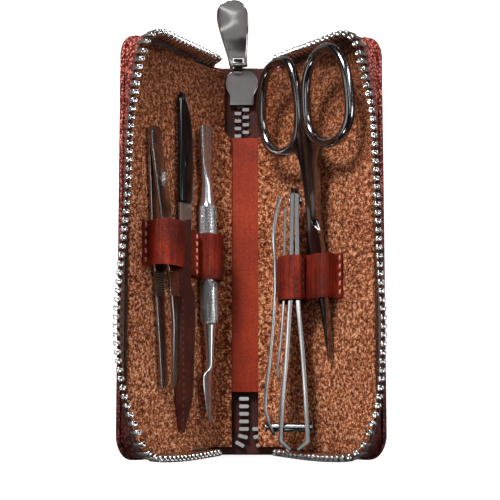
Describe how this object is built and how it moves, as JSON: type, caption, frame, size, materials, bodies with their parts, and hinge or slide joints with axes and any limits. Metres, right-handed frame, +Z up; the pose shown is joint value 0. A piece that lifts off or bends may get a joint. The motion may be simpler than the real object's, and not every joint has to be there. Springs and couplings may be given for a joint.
{
  "type": "manicure set case",
  "caption": "Zip-round leather case lying open on its spine, with tweezers, nail file, cuticle tool, scissors and nail clipper held in leather straps.",
  "frame": {"origin": "middle of the outer face of the case's spine, which it rests on", "axes": "+Z up off the spine, +Y along the spine toward the zip slider, +X toward the half that holds the scissors"},
  "size_m": [0.0822, 0.1551, 0.0583],
  "materials": {
    "grained_leather": "pebbled grain, semi-gloss",
    "smooth_leather": "smooth, semi-gloss",
    "strap_leather": "smooth, semi-gloss",
    "sheath_leather": "soft, matte",
    "suede": "napped, mottled",
    "board": "plain",
    "zip_tape": "woven twill",
    "thread": "twisted thread",
    "zip_metal": "bright plated",
    "slider_metal": "polished plated",
    "polished_steel": "polished nickel plated",
    "satin_steel": "satin and knurled",
    "file_steel": "cross-cut file surface",
    "black_handle": "gloss"
  },
  "bodies": {
    "spine": {"spine_leather": "grained_leather", "spine_strip": "smooth_leather", "chain_tape": "zip_tape", "closed_chain_teeth": "zip_metal", "closed_end_stop": "zip_metal", "zip_end_teeth": "zip_metal", "zip_end_tape": "zip_tape", "open_end_stops": "zip_metal"},
    "zip_slider": {"slider_body": "slider_metal", "slider_crown": "slider_metal"},
    "zip_puller": {"puller": "slider_metal"},
    "left_half": {"left_cover": "grained_leather", "left_board": "board", "left_lining": "suede", "left_zip_tape": "zip_tape", "left_teeth": "zip_metal", "left_strap": "strap_leather", "left_strap_thread": "thread", "file_sheath": "sheath_leather", "sheath_thread": "thread"},
    "right_half": {"right_cover": "grained_leather", "right_board": "board", "right_lining": "suede", "right_zip_tape": "zip_tape", "right_teeth": "zip_metal", "right_strap": "strap_leather", "right_strap_thread": "thread"},
    "tweezers": {"tweezers_leaf": "polished_steel"},
    "tweezers_arm": {"tweezers_arm": "polished_steel"},
    "nail_file": {"nail_file_handle": "black_handle", "nail_file_blade": "file_steel"},
    "cuticle": {"cuticle_tool": "satin_steel"},
    "scissors": {"scissors_blade_upper": "polished_steel", "scissors_screw": "polished_steel"},
    "scissors_blade": {"scissors_blade_lower": "polished_steel"},
    "clipper": {"clipper_leaf_right": "polished_steel", "clipper_pin": "polished_steel", "clipper_rivet": "polished_steel"},
    "clipper_leaf": {"clipper_leaf_left": "polished_steel"},
    "clipper_lever": {"clipper_lever": "polished_steel"},
    "clipper_file": {"clipper_file": "polished_steel"}
  },
  "joints": [
    {"name": "right_fold", "type": "hinge", "parent": "spine", "child": "right_half", "pos_m": [0.0128, 0, 0.0075], "axis": [0, 1, 0], "range_deg": [-37.5, 52.5]},
    {"name": "left_fold", "type": "hinge", "parent": "spine", "child": "left_half", "pos_m": [-0.0128, 0, 0.0075], "axis": [0, -1, 0], "range_deg": [-32.5, 57.5]},
    {"name": "slider_run", "type": "slide", "parent": "spine", "child": "zip_slider", "axis": [0, -1, 0], "range_m": [0, 0.009]},
    {"name": "puller_swing", "type": "hinge", "parent": "zip_slider", "child": "zip_puller", "pos_m": [-0.0028, 0.0646, 0.008], "axis": [1, 0, 0], "range_deg": [0, 150]},
    {"name": "scissors_pull", "type": "slide", "parent": "right_half", "child": "scissors", "axis": [-0.0747, 0.9956, 0.0573], "range_m": [0, 0.045]},
    {"name": "scissors_open", "type": "hinge", "parent": "scissors", "child": "scissors_blade", "pos_m": [0.02297, -0.008, 0.03285], "axis": [0.7898, 0.0941, -0.6061], "range_deg": [0, 2]},
    {"name": "clipper_pull", "type": "slide", "parent": "right_half", "child": "clipper", "axis": [0, 1, 0], "range_m": [0, 0.004]},
    {"name": "lever_lift", "type": "hinge", "parent": "clipper", "child": "clipper_lever", "pos_m": [0.00721, -0.0578, 0.02739], "axis": [-0.0436, 0, 0.999], "range_deg": [0, 8]},
    {"name": "jaw_close", "type": "hinge", "parent": "clipper", "child": "clipper_leaf", "pos_m": [0.0149, 0.0145, 0.02773], "axis": [-0.0436, 0, 0.999], "range_deg": [0, 0.4], "stiffness_Nm_per_rad": 2},
    {"name": "file_swing", "type": "hinge", "parent": "clipper", "child": "clipper_file", "pos_m": [0.0126, 0.0095, 0.02763], "axis": [-0.999, 0, -0.0436], "range_deg": [0, 3]},
    {"name": "tweezers_pull", "type": "slide", "parent": "left_half", "child": "tweezers", "axis": [-0.0422, 0.9969, 0.0662], "range_m": [0, 0.027]},
    {"name": "tweezers_squeeze", "type": "hinge", "parent": "tweezers", "child": "tweezers_arm", "pos_m": [-0.02867, 0.0307, 0.04069], "axis": [0.5356, 0.0785, -0.8408], "range_deg": [0, 1.6], "stiffness_Nm_per_rad": 1},
    {"name": "file_pull", "type": "slide", "parent": "left_half", "child": "nail_file", "axis": [0, 1, 0], "range_m": [0, 0.012]},
    {"name": "cuticle_pull", "type": "slide", "parent": "left_half", "child": "cuticle", "axis": [-0.0188, 0.9994, 0.0294], "range_m": [0, 0.023]}
  ]
}
